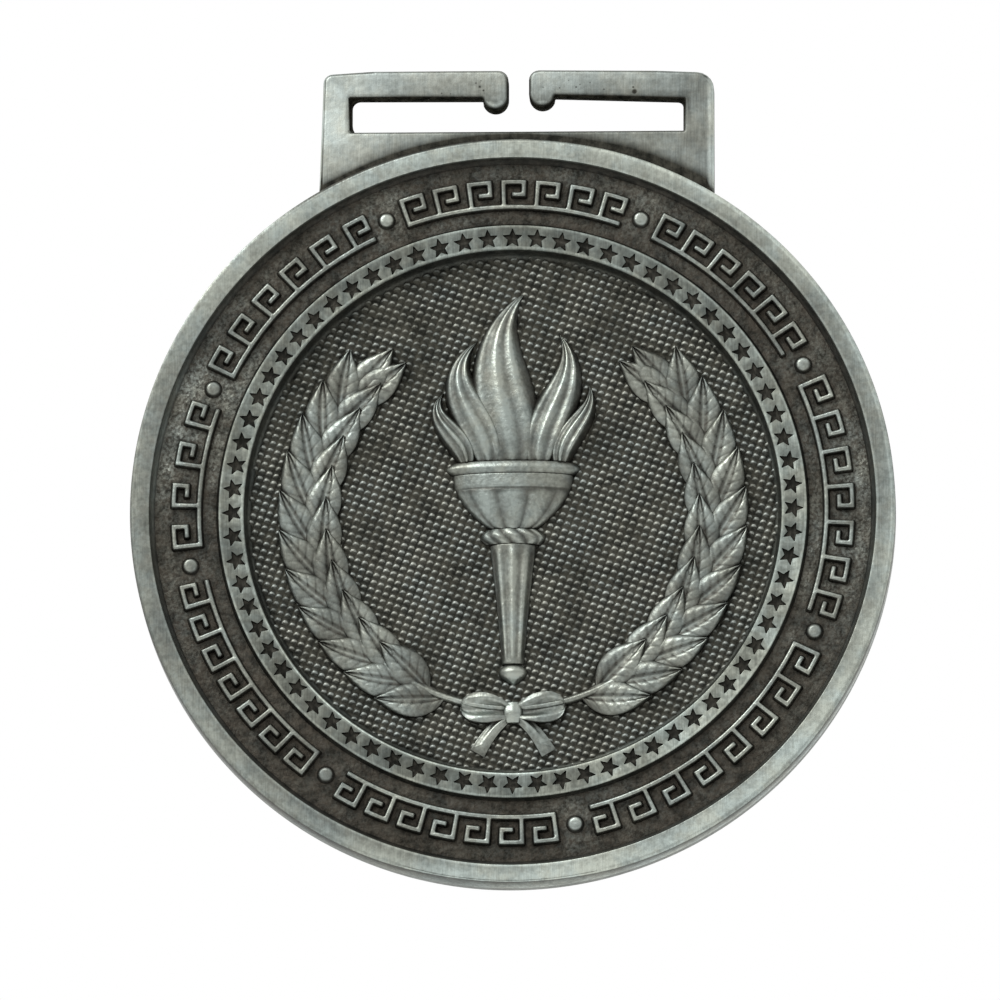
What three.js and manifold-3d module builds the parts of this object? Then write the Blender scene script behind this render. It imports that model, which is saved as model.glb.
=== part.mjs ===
// Sports finisher medal: a zinc die casting with an antique silver finish and an open ribbon loop.
// Sizes are in millimetres and angles in degrees, clockwise from the top of the face.
// Each piece is drawn in the face frame: x to the right, y up towards the ribbon loop, and z out of
// the face, with z = 0 on the reverse. One matrix at the end stands the medal upright.

import * as THREE from 'three';
import { mergeVertices } from 'three/addons/utils/BufferGeometryUtils.js';
import Module from 'manifold-3d';

const wasm = await Module();
wasm.setup();

// Round body, whose front is the seat of everything on the face
const discRadius = 30;
const discThickness = 1.2;
const discChamfer = 0.2;
const circleSteps = 96;
const reverseBorder = 2;
const reverseRecess = 0.25;

// Outer rim, the highest flat of the face
const rimWidth = 1.5;
const rimHeight = 1.8;
const rimChamfer = 0.2;

// Sunk band between the rim and the star ring
const bandWidth = 5.4;
const bandHeight = 0.9;

// Raised ring with incised stars
const starRingWidth = 2;
const starRingHeight = 1.4;
const starRingBevel = 0.3;
const starCount = 72;
const starReach = 0.85;
const starPoints = 5;
const starNotch = 0.43;
const starInset = 0.2;
const starDepth = 0.16;

// Sunk central field
const fieldHeight = 0.2;

// Dots of the band, clockwise from the top
const dotAngles = [23.2, 63, 112.7, 169, 214.8, 260.6, 293.2, 337.2];
const dotRadius = 0.65;
const dotCrown = 0.48;
const dotHeight = 0.45;
const dotSteps = 16;

// Running key ornament between the dots
const keyInset = 1.3;
const keyHeight = 2.4;
const keyWidth = 1.95;
const keyStroke = 0.38;
const keyRelief = 0.5;
const keyPitch = 2.6;
const keyEndGap = 0.75;
const keyCurlGap = 0.45;

// Ribbon loop: a web on the disc, two posts, and two arms that end in hooks either side of a gap
const loopThickness = 2;
const loopWidth = 30.85;
const loopShift = 0.43;
const slotWidth = 26.3;
const slotHeight = 2.77;
const webNeck = 0.88;
const armHeight = 1.93;
const armRise = 0.3;
const rightArmDroop = 0.35;
const leftCornerRadius = 0.4;
const rightCornerRadius = 0.95;
const armEndRadius = 0.35;
const cornerSteps = 4;
const gapWidth = 1.62;
const gapShift = 0.035;
const hookWidth = 2.1;
const hookDrop = 0.9;
const hookSteps = 8;

// Emblem, drawn for a field of this radius and fitted to the real one
const emblemFieldRadius = 20.8;
const torchTopMargin = 3;
const torchBowGap = 1.35;
const torchSides = 8;
const torchSteps = 8;
const rollSteps = 4;

// Torch parts from the foot up: length along the torch, half width and relief
const finialLength = 1.7;
const finialHalfWidth = 1.15;
const finialRelief = 0.9;
const finialShare = 0.8;
const handleFootHalfWidth = 0.9;
const handleTopHalfWidth = 1.85;
const handleFootRelief = 0.83;
const handleTopRelief = 1.1;
const handleFlarePower = 1.2;
const collarLength = 1.2;
const collarHalfWidth = 2.6;
const collarRelief = 1.25;
const collarEdgeShare = 0.82;
const bowlLength = 4.4;
const bowlFootHalfWidth = 1.7;
const bowlTopHalfWidth = 4.75;
const bowlFootRelief = 0.95;
const bowlTopRelief = 1.35;
const bowlSwellPower = 0.8;
const lipLength = 1;
const lipHalfWidth = 5.3;
const lipRelief = 1.4;
const lipEdgeShare = 0.9;

// Flame. Each tongue has the place where it leaves the lip, its swing, its lean, the place of its tip,
// its reach and its girth, as shares of the lip's half width and of the flame's length.
const flameLength = 13.8;
const flameRelief = 1.25;
const flameSides = 6;
const flameSteps = 9;
const flameFootShare = 0.22;
const flameSwellPower = 0.85;
const flameTongues = [
  [0, 0.3, -0.55, 0.18, 1, 0.5],
  [-0.36, 0.35, -1.2, -0.52, 0.72, 0.34],
  [0.38, 0.35, 1.15, 0.68, 0.76, 0.34],
  [-0.68, 0.4, -1.35, -1.02, 0.42, 0.21],
  [0.7, 0.4, 1.3, 1.12, 0.46, 0.21],
];

// Laurel branches, along a circle about the centre, with angles up from the bottom of the face.
// A leaf's rows give its width and its rise at shares of its length.
const laurelMargin = 5.1;
const laurelStart = 16;
const laurelEnd = 126;
const laurelSteps = 14;
const leafPairs = 11;
const firstLeaf = 0.35;
const leafStagger = 0.5;
const leafLength = 5.6;
const leafHalfWidth = 1.4;
const leafRelief = 0.75;
const leafSplay = 25;
const leafSides = 2;
const leafRows = [[0, 0, 0], [0.18, 0.55, 0.7], [0.45, 1, 1], [0.78, 0.6, 0.75], [1, 0, 0]];
const stemHalfWidth = 0.36;
const stemRelief = 0.5;
const stemSides = 4;
const stemTaper = 0.4;

// Bow that ties the branches. The rows of a loop and of a tail are like a leaf's.
const bowDrop = 0.4;
const bowRelief = 0.8;
const bowSides = 4;
const knotHalfWidth = 0.85;
const knotLength = 1.7;
const knotRelief = 0.92;
const knotEdgeShare = 0.7;
const bowLoopLength = 3.3;
const bowLoopHalfWidth = 1.15;
const bowLoopTilt = 7;
const bowLoopRows = [[0, 0.35, 0.8], [0.35, 0.7, 1], [0.7, 1, 1], [0.92, 0.7, 0.8], [1, 0.2, 0.5]];
const bowTailLength = 3.1;
const bowTailHalfWidth = 0.55;
const bowTailTilt = -48;
const bowTailRows = [[0, 0.7, 0.8], [0.5, 0.85, 0.9], [1, 1, 0.7]];

// Places worked out from the sizes
const rimInner = discRadius - rimWidth;
const starRingOuter = rimInner - bandWidth;
const starRingInner = starRingOuter - starRingWidth;
const fieldRadius = starRingInner - starRingBevel;
const starCircle = starRingInner + starInset + starReach * Math.cos(Math.PI / starPoints);
const bandZ = discThickness + bandHeight;
const fieldZ = discThickness + fieldHeight;
const keyInner = starRingOuter + keyInset;
const dotCircle = keyInner + keyHeight / 2;
const loopLeft = loopShift - loopWidth / 2;
const loopRight = loopShift + loopWidth / 2;
const slotLeft = loopShift - slotWidth / 2;
const slotRight = loopShift + slotWidth / 2;
const slotFloor = discRadius + webNeck;
const slotTop = slotFloor + slotHeight;
const gapMiddle = loopShift + gapShift;
const emblemScale = fieldRadius / emblemFieldRadius;
const laurelRadius = emblemFieldRadius - laurelMargin;
const bowDepth = laurelRadius + bowDrop;
const torchFoot = knotLength / 2 + torchBowGap - bowDepth;
const torchTop = emblemFieldRadius - torchTopMargin;
const torchFixedLength = finialLength + collarLength + bowlLength + lipLength + flameLength;
const handleLength = torchTop - torchFoot - torchFixedLength;
const handleFoot = torchFoot + finialLength;
const collarFoot = handleFoot + handleLength;
const bowlFoot = collarFoot + collarLength;
const lipFoot = bowlFoot + bowlLength;
const flameFoot = lipFoot + lipLength;

// Turns the axis of a lathe, which is y, into z, with whole numbers so that no corner is rounded
const yToZ = new THREE.Matrix4().set(1, 0, 0, 0, 0, 0, -1, 0, 0, 1, 0, 0, 0, 0, 0, 1);

const radians = THREE.MathUtils.degToRad;
const degrees = THREE.MathUtils.radToDeg;
const lerp = THREE.MathUtils.lerp;

// Finishes of the casting
const finishes = {
  brushed: { color: 0xa3aba1, roughness: 0.38, metalness: 1 },
  relief: { color: 0x9a9f97, roughness: 0.34, metalness: 1 },
  patina: { color: 0x4a4843, roughness: 0.6, metalness: 1 },
  reverse: { color: 0x8d938b, roughness: 0.45, metalness: 1 },
};

const face = new THREE.Group();

// Adds one named piece to the face, at a height above the reverse
function place(name, finish, geometry, z = 0) {
  const mesh = new THREE.Mesh(geometry, new THREE.MeshStandardMaterial(finishes[finish]));
  mesh.name = name;
  mesh.position.z = z;
  face.add(mesh);
  return mesh;
}

// A point of the face at a clockwise angle from the top
function facePoint(radius, angle) {
  return new THREE.Vector2(radius * Math.sin(radians(angle)), radius * Math.cos(radians(angle)));
}

// A closed mesh with shared corners, and without triangles that have shrunk to a line
function closed(geometry) {
  const bare = geometry.clone();
  bare.deleteAttribute('normal');
  bare.deleteAttribute('uv');
  const merged = mergeVertices(bare);
  const corners = merged.index.array;
  const kept = [];
  for (let i = 0; i < corners.length; i += 3) {
    const [a, b, c] = [corners[i], corners[i + 1], corners[i + 2]];
    if (a !== b && b !== c && c !== a) kept.push(a, b, c);
  }
  merged.setIndex(kept);
  return merged;
}

// The solid that booleans work on, and its way back to a geometry
function toSolid(geometry) {
  const mesh = closed(geometry);
  return new wasm.Manifold(new wasm.Mesh({
    numProp: 3,
    vertProperties: new Float32Array(mesh.attributes.position.array),
    triVerts: new Uint32Array(mesh.index.array),
  }));
}

function toGeometry(solid) {
  const mesh = solid.getMesh();
  const geometry = new THREE.BufferGeometry();
  geometry.setAttribute('position', new THREE.BufferAttribute(mesh.vertProperties, 3));
  geometry.setIndex(new THREE.BufferAttribute(mesh.triVerts, 1));
  geometry.computeVertexNormals();
  return geometry;
}

// Joins shapes that cross one another into one body
function joined(geometries) {
  return toGeometry(geometries.map(toSolid).reduce((sum, solid) => sum.add(solid)));
}

// A body turned about the medal's axis from [radius, z] corners, listed anticlockwise
function turned(corners, steps = circleSteps) {
  const profile = corners.map(([radius, z]) => new THREE.Vector2(radius, z));
  return closed(new THREE.LatheGeometry(profile, steps).applyMatrix4(yToZ));
}

// A ring whose section is closed
function turnedRing(corners) {
  return turned([...corners, corners[0]]);
}

// A flat plate with an outline in the face frame
function plate(outline, thickness) {
  return new THREE.ExtrudeGeometry(outline, {
    depth: thickness,
    bevelEnabled: false,
    curveSegments: cornerSteps,
  });
}

// A flat-bottomed relief that follows a line. Each station has a place, a direction, a half width
// and a relief, and its section is a half ellipse of sectionSteps sides.
function reliefAlong(stations, sectionSteps) {
  const places = [];
  const corners = [];
  const row = sectionSteps + 1;
  for (const { at, along, halfWidth, relief } of stations) {
    for (let k = 0; k < row; k++) {
      const turn = (Math.PI * k) / sectionSteps;
      const across = k === sectionSteps / 2 ? 0 : halfWidth * Math.cos(turn);
      const rise = k === 0 || k === sectionSteps ? 0 : relief * Math.sin(turn);
      places.push(at.x - along.y * across, at.y + along.x * across, rise);
    }
  }
  for (let i = 0; i + 1 < stations.length; i++) {
    const here = i * row;
    const next = here + row;
    for (let k = 0; k < sectionSteps; k++) {
      corners.push(here + k, here + k + 1, next + k);
      corners.push(here + k + 1, next + k + 1, next + k);
    }
    corners.push(here, next, here + sectionSteps);
    corners.push(here + sectionSteps, next, next + sectionSteps);
  }
  const last = (stations.length - 1) * row;
  for (let k = 1; k < sectionSteps; k++) {
    corners.push(0, k + 1, k);
    corners.push(last, last + k, last + k + 1);
  }
  const geometry = new THREE.BufferGeometry();
  geometry.setAttribute('position', new THREE.Float32BufferAttribute(places, 3));
  geometry.setIndex(corners);
  return closed(geometry);
}

// A relief along an upright line. The size at each share of its length is a half width and a relief.
function uprightRelief(foot, length, steps, sizeAt) {
  const stations = [];
  for (let i = 0; i <= steps; i++) {
    const [halfWidth, relief] = sizeAt(i / steps);
    stations.push({
      at: new THREE.Vector2(0, foot + (i / steps) * length),
      along: new THREE.Vector2(0, 1),
      halfWidth,
      relief,
    });
  }
  return reliefAlong(stations, torchSides);
}

// Round body with its recessed reverse
function discBlank() {
  const recessRadius = discRadius - reverseBorder;
  return turned([
    [0, reverseRecess],
    [recessRadius, reverseRecess],
    [recessRadius, 0],
    [discRadius - discChamfer, 0],
    [discRadius, discChamfer],
    [discRadius, discThickness],
    [0, discThickness],
  ]);
}

// Raised rim with both edges of its flat broken
function outerRim() {
  return turnedRing([
    [rimInner, 0],
    [discRadius, 0],
    [discRadius, rimHeight - rimChamfer],
    [discRadius - rimChamfer, rimHeight],
    [rimInner, rimHeight],
  ]);
}

// Floor of the band that carries the dots and the key runs
function legendBand() {
  return turnedRing([
    [starRingOuter, 0],
    [rimInner, 0],
    [rimInner, bandHeight],
    [starRingOuter, bandHeight],
  ]);
}

// Outline of one star, with a point straight up
function starOutline() {
  const outline = new THREE.Shape();
  for (let i = 0; i < 2 * starPoints; i++) {
    const reach = i % 2 ? starReach * starNotch : starReach;
    const { x, y } = facePoint(reach, (i * 180) / starPoints);
    if (i) outline.lineTo(x, y);
    else outline.moveTo(x, y);
  }
  outline.closePath();
  return outline;
}

// Ring with its inner side bevelled down to the field, and the stars cut into its flat
function starRing() {
  let ring = toSolid(turnedRing([
    [fieldRadius, 0],
    [starRingOuter, 0],
    [starRingOuter, starRingHeight],
    [starRingInner, starRingHeight],
    [fieldRadius, fieldHeight],
  ]));
  const cutter = plate(starOutline(), 2 * starDepth);
  for (let i = 0; i < starCount; i++) {
    const angle = (360 * i) / starCount;
    const { x, y } = facePoint(starCircle, angle);
    const star = cutter.clone().rotateZ(-radians(angle));
    star.translate(x, y, starRingHeight - starDepth);
    ring = ring.subtract(toSolid(star));
  }
  return toGeometry(ring);
}

// Floor of the field inside the star ring's bevel
function fieldPlate() {
  return turned([
    [0, 0],
    [fieldRadius, 0],
    [fieldRadius, fieldHeight],
    [0, fieldHeight],
  ]);
}

// Low dot that narrows to a flat top
function bandDot() {
  return turned([
    [0, 0],
    [dotRadius, 0],
    [dotCrown, dotHeight],
    [0, dotHeight],
  ], dotSteps);
}

// One run of the key ornament: a base line with a row of hooks that curl in clockwise
function keyRun(fromAngle, toAngle) {
  const length = radians(toAngle - fromAngle) * dotCircle;
  const hooks = Math.max(1, Math.floor((length - keyWidth) / keyPitch) + 1);
  const pitch = hooks > 1 ? (length - keyWidth) / (hooks - 1) : keyPitch;
  const top = keyHeight;
  const curlFoot = (keyHeight - keyStroke) / 2;
  const curlTop = curlFoot + keyStroke;
  const curlEnd = keyStroke + keyCurlGap;
  const corners = [];
  for (let i = 0; i < hooks; i++) corners.push([i * pitch, 0], [i * pitch + keyWidth, 0]);
  for (let i = hooks - 1; i >= 0; i--) {
    const left = i * pitch;
    const right = left + keyWidth;
    corners.push(
      [right, keyStroke],
      [left + keyStroke, keyStroke],
      [left + keyStroke, top - keyStroke],
      [right - keyStroke, top - keyStroke],
      [right - keyStroke, curlTop],
      [left + curlEnd, curlTop],
      [left + curlEnd, curlFoot],
      [right, curlFoot],
      [right, top],
      [left, top],
      [left, keyStroke],
    );
  }
  const outline = new THREE.Shape(corners.map(([along, out]) => (
    facePoint(keyInner + out, fromAngle + degrees(along / dotCircle)))));
  return plate(outline, keyRelief);
}

// A corner of the disc's edge, as the lathe places it
function discCorner(step) {
  const turn = (2 * Math.PI * step) / circleSteps;
  return new THREE.Vector2(discRadius * Math.sin(turn), -discRadius * Math.cos(turn));
}

// How many steps round the disc the upright side of the loop at x meets its edge, and where
function edgeSteps(x) {
  return ((Math.PI - Math.asin(x / discRadius)) * circleSteps) / (2 * Math.PI);
}

function discEdgeAt(x) {
  const step = Math.floor(edgeSteps(x));
  const before = discCorner(step);
  const after = discCorner(step + 1);
  const share = (x - before.x) / (after.x - before.x);
  return new THREE.Vector2(x, before.y + share * (after.y - before.y));
}

// Web between the disc and the slot
function loopWeb() {
  const points = [
    new THREE.Vector2(loopRight, slotFloor),
    new THREE.Vector2(loopLeft, slotFloor),
    discEdgeAt(loopLeft),
  ];
  const lastStep = Math.floor(edgeSteps(loopLeft));
  for (let step = lastStep; step > edgeSteps(loopRight); step--) points.push(discCorner(step));
  points.push(discEdgeAt(loopRight));
  return plate(new THREE.Shape(points), loopThickness);
}

// A post from the web to the arm
function loopPost(outer, inner, droop) {
  const outline = new THREE.Shape();
  outline.moveTo(outer, slotFloor);
  outline.lineTo(inner, slotFloor);
  outline.lineTo(inner, slotTop - droop);
  outline.lineTo(outer, slotTop - droop);
  outline.closePath();
  return plate(outline, loopThickness);
}

// An arm along the top of the slot. Its top climbs from the rounded corner to the gap, and its
// underside may droop from the hook to the post.
function loopArm(outer, inner, end, droop, cornerRadius) {
  const side = Math.sign(outer);
  const cornerTop = slotTop + armHeight;
  const endTop = cornerTop + armRise;
  const outline = new THREE.Shape();
  outline.moveTo(outer, slotTop - droop);
  outline.lineTo(outer, cornerTop - cornerRadius);
  outline.quadraticCurveTo(outer, cornerTop, outer - side * cornerRadius, cornerTop);
  outline.lineTo(end + side * armEndRadius, endTop);
  outline.quadraticCurveTo(end, endTop, end, endTop - armEndRadius);
  outline.lineTo(end, slotTop);
  outline.lineTo(end + side * hookWidth, slotTop);
  outline.lineTo(inner, slotTop - droop);
  outline.closePath();
  return plate(outline, loopThickness);
}

// The round hook under an arm's end, cut off level at the arm's underside
function loopHook(end, side) {
  const radius = hookWidth / 2;
  const middle = end + side * radius;
  const rise = Math.max(0, radius - hookDrop);
  const reach = Math.sqrt(radius * radius - rise * rise);
  const half = Math.acos(rise / radius);
  const points = [];
  for (let i = 0; i <= hookSteps; i++) {
    const turn = -half + (2 * half * i) / hookSteps;
    points.push(new THREE.Vector2(
      middle + (i % hookSteps ? radius * Math.sin(turn) : Math.sign(turn) * reach),
      i % hookSteps ? slotTop - hookDrop + radius * (1 - Math.cos(turn)) : slotTop,
    ));
  }
  return plate(new THREE.Shape(points), loopThickness);
}

// Ball foot of the torch, with its top flat against the handle
function torchFinial() {
  return uprightRelief(torchFoot, finialLength, torchSteps, (share) => {
    const swell = Math.sin(Math.PI * finialShare * share);
    return [finialHalfWidth * swell, finialRelief * swell];
  });
}

// Handle that flares towards the collar
function torchHandle() {
  return uprightRelief(handleFoot, handleLength, torchSteps, (share) => [
    lerp(handleFootHalfWidth, handleTopHalfWidth, share ** handleFlarePower),
    lerp(handleFootRelief, handleTopRelief, share),
  ]);
}

// Rounded collar above the handle
function torchCollar() {
  return uprightRelief(collarFoot, collarLength, rollSteps, (share) => {
    const swell = lerp(collarEdgeShare, 1, Math.sin(Math.PI * share));
    return [collarHalfWidth * swell, collarRelief * swell];
  });
}

// Bowl that opens upwards in a bell curve
function torchBowl() {
  return uprightRelief(bowlFoot, bowlLength, torchSteps, (share) => {
    const opening = Math.sin((Math.PI / 2) * share) ** bowlSwellPower;
    return [
      lerp(bowlFootHalfWidth, bowlTopHalfWidth, opening),
      lerp(bowlFootRelief, bowlTopRelief, opening),
    ];
  });
}

// Rolled lip on the bowl
function torchLip() {
  return uprightRelief(lipFoot, lipLength, rollSteps, (share) => {
    const swell = lerp(lipEdgeShare, 1, Math.sin(Math.PI * share));
    return [lipHalfWidth * swell, lipRelief * swell];
  });
}

// One tongue of flame along a curve that leaves the lip upright and swings to its tip
function flameTongue([foot, swing, lean, tip, reach, girth]) {
  const height = reach * flameLength;
  const curve = new THREE.CubicBezierCurve(
    new THREE.Vector2(foot * lipHalfWidth, flameFoot),
    new THREE.Vector2(foot * lipHalfWidth, flameFoot + swing * height),
    new THREE.Vector2(lean * lipHalfWidth, flameFoot + (1 - swing) * height),
    new THREE.Vector2(tip * lipHalfWidth, flameFoot + height),
  );
  const stations = [];
  for (let i = 0; i <= flameSteps; i++) {
    const share = i / flameSteps;
    const phase = lerp(flameFootShare, 1, share ** flameSwellPower);
    const swell = i === flameSteps ? 0 : Math.sin(Math.PI * phase);
    stations.push({
      at: curve.getPoint(share),
      along: i ? curve.getTangent(share) : new THREE.Vector2(0, 1),
      halfWidth: girth * lipHalfWidth * swell,
      relief: flameRelief * Math.sqrt(swell),
    });
  }
  return reliefAlong(stations, flameSides);
}

// Tongues that lick up from the lip and run into one another
function torchFlame() {
  return joined(flameTongues.map(flameTongue));
}

// A point on the laurel's circle, and the way the branch runs there; side is 1 on the right
function laurelStation(share, side) {
  const turn = radians(lerp(laurelStart, laurelEnd, share));
  return {
    at: new THREE.Vector2(side * laurelRadius * Math.sin(turn), -laurelRadius * Math.cos(turn)),
    along: new THREE.Vector2(side * Math.cos(turn), Math.sin(turn)),
  };
}

// A straight relief whose rows give its width and its rise at shares of its length
function reliefStrip(at, along, length, halfWidth, relief, rows, sides) {
  return reliefAlong(rows.map(([share, width, rise]) => ({
    at: at.clone().addScaledVector(along, share * length),
    along,
    halfWidth: width * halfWidth,
    relief: rise * relief,
  })), sides);
}

// A leaf with a ridge down its middle
function laurelLeaf(at, along) {
  return reliefStrip(at, along, leafLength, leafHalfWidth, leafRelief, leafRows, leafSides);
}

// A branch: a tapering stem with leaves in pairs and one at its tip
function laurelBranch(side) {
  const stations = [];
  for (let i = 0; i <= laurelSteps; i++) {
    const share = i / laurelSteps;
    const taper = 1 - stemTaper * share;
    stations.push({
      ...laurelStation(share, side),
      halfWidth: stemHalfWidth * taper,
      relief: stemRelief * taper,
    });
  }
  const pieces = [reliefAlong(stations, stemSides)];
  const centre = new THREE.Vector2();
  for (let i = 0; i < leafPairs; i++) {
    for (const splay of [-leafSplay, leafSplay]) {
      const stagger = splay > 0 ? leafStagger : 0;
      const { at, along } = laurelStation((i + firstLeaf + stagger) / leafPairs, side);
      pieces.push(laurelLeaf(at, along.clone().rotateAround(centre, radians(splay * side))));
    }
  }
  const tip = laurelStation(1, side);
  pieces.push(laurelLeaf(tip.at.addScaledVector(tip.along, -stemHalfWidth), tip.along));
  return joined(pieces);
}

// One side of the bow: a loop or a tail from the knot, at an angle above the level
function bowStrip(side, tilt, length, halfWidth, rows) {
  const along = new THREE.Vector2(side * Math.cos(radians(tilt)), Math.sin(radians(tilt)));
  const knot = new THREE.Vector2(0, -bowDepth);
  return reliefStrip(knot, along, length + knotHalfWidth, halfWidth, bowRelief, rows, bowSides);
}

// The bow: a knot with a loop and a tail each side
function laurelBow() {
  const pieces = [uprightRelief(-bowDepth - knotLength / 2, knotLength, rollSteps, (share) => {
    const swell = lerp(knotEdgeShare, 1, Math.sin(Math.PI * share));
    return [knotHalfWidth * swell, knotRelief * swell];
  })];
  for (const side of [-1, 1]) {
    pieces.push(bowStrip(side, bowLoopTilt, bowLoopLength, bowLoopHalfWidth, bowLoopRows));
    pieces.push(bowStrip(side, bowTailTilt, bowTailLength, bowTailHalfWidth, bowTailRows));
  }
  return joined(pieces);
}

// Body and rings
place('disc_blank', 'reverse', discBlank());
place('outer_rim', 'brushed', outerRim(), discThickness);
place('legend_band', 'patina', legendBand(), discThickness);
place('star_ring', 'brushed', starRing(), discThickness);
place('field_plate', 'patina', fieldPlate(), discThickness);

// Dots, and the key runs between each dot and the next
const keyClear = degrees((dotRadius + keyEndGap) / dotCircle);
dotAngles.forEach((angle, i) => {
  const dot = place(`band_dot_${i + 1}`, 'relief', bandDot(), bandZ);
  const { x, y } = facePoint(dotCircle, angle);
  dot.position.set(x, y, bandZ);
  const next = i + 1 < dotAngles.length ? dotAngles[i + 1] : dotAngles[0] + 360;
  place(`key_run_${i + 1}`, 'relief', keyRun(angle + keyClear, next - keyClear), bandZ);
});

// Ribbon loop
place('loop_web', 'brushed', loopWeb());
place('loop_left_post', 'brushed', loopPost(loopLeft, slotLeft, 0));
place('loop_right_post', 'brushed', loopPost(loopRight, slotRight, rightArmDroop));
const leftEnd = gapMiddle - gapWidth / 2;
const rightEnd = gapMiddle + gapWidth / 2;
const leftArm = loopArm(loopLeft, slotLeft, leftEnd, 0, leftCornerRadius);
const rightArm = loopArm(loopRight, slotRight, rightEnd, rightArmDroop, rightCornerRadius);
place('loop_left_arm', 'brushed', leftArm);
place('loop_right_arm', 'brushed', rightArm);
place('loop_left_hook', 'brushed', loopHook(leftEnd, -1));
place('loop_right_hook', 'brushed', loopHook(rightEnd, 1));

// Emblem on the field
const emblem = {
  torch_finial: torchFinial(),
  torch_handle: torchHandle(),
  torch_collar: torchCollar(),
  torch_bowl: torchBowl(),
  torch_lip: torchLip(),
  torch_flame: torchFlame(),
  laurel_left: laurelBranch(-1),
  laurel_right: laurelBranch(1),
  laurel_bow: laurelBow(),
};
for (const [name, geometry] of Object.entries(emblem)) {
  place(name, 'relief', geometry.scale(emblemScale, emblemScale, 1), fieldZ);
}

// Stands the medal upright: its face looks along -y, its loop points up, and the origin is in the
// middle of the loop's thickness, level with the top of the slot, where the medal hangs
const medal = new THREE.Group();
medal.name = 'finisher_medal';
medal.matrixAutoUpdate = false;
medal.matrix.copy(yToZ);
medal.matrix.setPosition(0, loopThickness / 2, -slotTop);
medal.add(face);

export default medal;
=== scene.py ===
# Sports finisher medal: a zinc die casting with an antique silver finish and an open ribbon loop.
# It hangs upright from its slot. Lengths are in millimetres in the face frame until they become
# mesh points: x to the right, y up from the disc's centre, and z out of the face from the reverse.

import math

import bmesh
import bpy
import numpy as np
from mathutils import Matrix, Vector
from mathutils.geometry import tessellate_polygon


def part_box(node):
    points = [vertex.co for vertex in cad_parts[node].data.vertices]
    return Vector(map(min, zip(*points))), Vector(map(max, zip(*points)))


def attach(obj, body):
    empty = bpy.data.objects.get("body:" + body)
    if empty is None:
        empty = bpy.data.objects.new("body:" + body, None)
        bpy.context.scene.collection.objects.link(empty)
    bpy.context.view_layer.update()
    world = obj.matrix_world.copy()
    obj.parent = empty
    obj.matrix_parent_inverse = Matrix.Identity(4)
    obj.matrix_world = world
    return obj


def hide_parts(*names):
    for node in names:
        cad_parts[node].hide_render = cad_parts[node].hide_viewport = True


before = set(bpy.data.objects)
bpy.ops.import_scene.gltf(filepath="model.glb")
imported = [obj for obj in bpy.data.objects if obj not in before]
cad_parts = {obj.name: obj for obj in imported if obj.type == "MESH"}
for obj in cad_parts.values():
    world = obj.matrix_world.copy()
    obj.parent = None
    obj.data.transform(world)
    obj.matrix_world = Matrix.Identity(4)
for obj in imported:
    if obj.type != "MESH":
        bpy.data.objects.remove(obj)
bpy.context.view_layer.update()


# Round body of the medal: the plain reverse with its shallow engraving recess, and the side wall.
# It is zinc alloy, pressure cast in one shot with everything on the face, then plated, blackened
# and rubbed back, so that the finish stays dark wherever the polishing wheel didn't reach.
MM = 0.001
scene = bpy.context.scene
blank_low, blank_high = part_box("disc_blank")
back_y = blank_high.y
centre_z = (blank_low.z + blank_high.z) / 2
disc_radius = (blank_high.x - blank_low.x) / 2 / MM
seat = (blank_high.y - blank_low.y) / MM
turn_steps = 720
axis_gap = 0.01
silver = (0.40, 0.435, 0.395)
soot = (0.036, 0.034, 0.029)
brush_scale = (9000, 9000, 500)


def face_box(node):
    """Lowest and highest corner of a CAD node in the face frame."""
    low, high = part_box(node)
    return (
        np.array([low.x, low.z - centre_z, back_y - high.y]) / MM,
        np.array([high.x, high.z - centre_z, back_y - low.y]) / MM,
    )


def linked(name, data):
    """A new object of the scene, from its mesh, camera or light."""
    added = bpy.data.objects.new(name, data)
    scene.collection.objects.link(added)
    return added


def add_piece(name, points, faces, wear_and_sheen, material, slot, nodes):
    """A mesh piece from face-frame points, with how far the wheel has cleared the silver at each of them,
    a level that on some pieces also holds painted sheen and highlights.
    """
    points = np.asarray(points, float) * MM
    places = np.column_stack([points[:, 0], back_y - points[:, 2], points[:, 1] + centre_z])
    mesh = bpy.data.meshes.new(name)
    mesh.from_pydata(places.tolist(), [], [list(map(int, face)) for face in faces])
    mesh.validate()
    layer = mesh.attributes.new("wear_and_sheen", "FLOAT", "POINT")
    layer.data.foreach_set("value", np.asarray(wear_and_sheen, np.float32))
    mesh.shade_smooth()
    mesh.materials.append(material)
    piece = linked(name, mesh)
    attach(piece, "root")
    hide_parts(*nodes)
    return piece


def turned(profile, steps=turn_steps, from_behind=False):
    """Points, faces and wear of a body turned about the axis, from [radius, z, wear] corners that run
    outwards along the face, or along the reverse for one seen from behind."""
    profile = np.asarray(profile, float)
    rows = len(profile)
    turns = np.arange(steps) * 2 * math.pi / steps
    radius, height, wear_and_sheen = profile.T
    points = np.stack([
        np.outer(np.sin(turns), radius),
        np.outer(np.cos(turns), radius),
        np.tile(height, (steps, 1)),
    ], axis=2).reshape(-1, 3)
    faces = []
    for step in range(steps):
        here, after = step * rows, (step + 1) % steps * rows
        for row in range(rows - 1):
            face = [here + row, here + row + 1, after + row + 1, after + row]
            faces.append(face if from_behind else face[::-1])
    return points, faces, np.tile(wear_and_sheen, steps)


def arc(centre, radius, start, end, wear_and_sheen, steps=5):
    """Profile corners round an edge, with angles in degrees."""
    angles = np.radians(np.linspace(start, end, steps + 1))
    return [[centre[0] + radius * math.cos(a), centre[1] + radius * math.sin(a), wear_and_sheen] for a in angles]


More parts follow.
